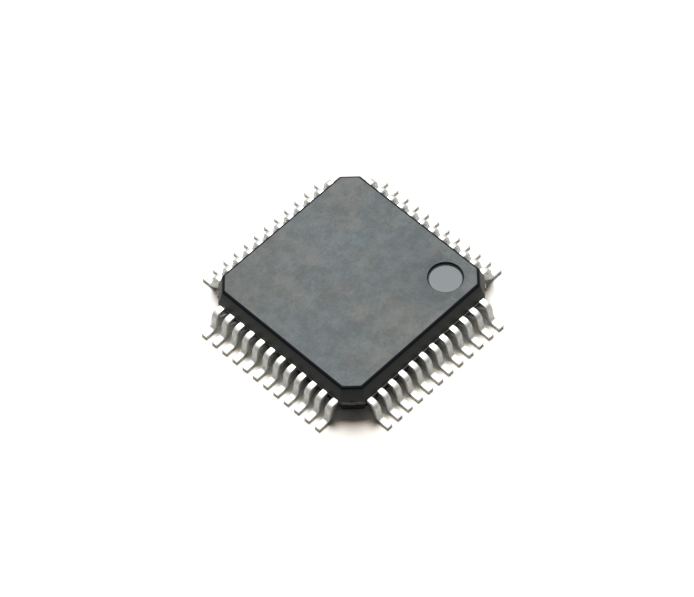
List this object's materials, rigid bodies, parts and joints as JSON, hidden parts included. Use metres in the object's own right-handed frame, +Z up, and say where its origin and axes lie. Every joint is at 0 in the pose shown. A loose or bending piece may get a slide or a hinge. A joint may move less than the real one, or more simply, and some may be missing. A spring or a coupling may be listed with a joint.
{
  "type": "quad flat pack chip",
  "caption": "Surface-mount chip: a low square moulded body with chamfered corners and an index dimple, and rows of bright gull-wing leads on all four sides.",
  "frame": {"origin": "on the seating plane, the undersides of the feet, below the centre of the body", "axes": "+X and +Y square to the sides of the body, +Z up out of the top face; the index dimple and lead 1 are at the -X, +Y corner, and leads are numbered anticlockwise seen from above"},
  "size_m": [0.009, 0.009, 0.0015],
  "materials": {
    "mold_compound": "matte, fine spark-eroded texture, grey black",
    "tin_plating": "matte to satin tin plating over copper alloy",
    "copper_strip": "bare stamped copper alloy",
    "silver_epoxy": "cured, silver filled",
    "silicon": "polished, blue grey",
    "gold_wire": "bright drawn wire"
  },
  "bodies": {
    "root": {"molded_body": "mold_compound", "die_pad": "copper_strip", "die_attach": "silver_epoxy", "die": "silicon", "bond_wires_west": "gold_wire", "bond_wires_south": "gold_wire", "bond_wires_east": "gold_wire", "bond_wires_north": "gold_wire", "lead_01": "tin_plating", "lead_02": "tin_plating", "lead_03": "tin_plating", "lead_04": "tin_plating", "lead_05": "tin_plating", "lead_06": "tin_plating", "lead_07": "tin_plating", "lead_08": "tin_plating", "lead_09": "tin_plating", "lead_10": "tin_plating", "lead_11": "tin_plating", "lead_12": "tin_plating", "lead_13": "tin_plating", "lead_14": "tin_plating", "lead_15": "tin_plating", "lead_16": "tin_plating", "lead_17": "tin_plating", "lead_18": "tin_plating", "lead_19": "tin_plating", "lead_20": "tin_plating", "lead_21": "tin_plating", "lead_22": "tin_plating", "lead_23": "tin_plating", "lead_24": "tin_plating", "lead_25": "tin_plating", "lead_26": "tin_plating", "lead_27": "tin_plating", "lead_28": "tin_plating", "lead_29": "tin_plating", "lead_30": "tin_plating", "lead_31": "tin_plating", "lead_32": "tin_plating", "lead_33": "tin_plating", "lead_34": "tin_plating", "lead_35": "tin_plating", "lead_36": "tin_plating", "lead_37": "tin_plating", "lead_38": "tin_plating", "lead_39": "tin_plating", "lead_40": "tin_plating", "lead_41": "tin_plating", "lead_42": "tin_plating", "lead_43": "tin_plating", "lead_44": "tin_plating", "lead_45": "tin_plating", "lead_46": "tin_plating", "lead_47": "tin_plating", "lead_48": "tin_plating"}
  },
  "joints": []
}
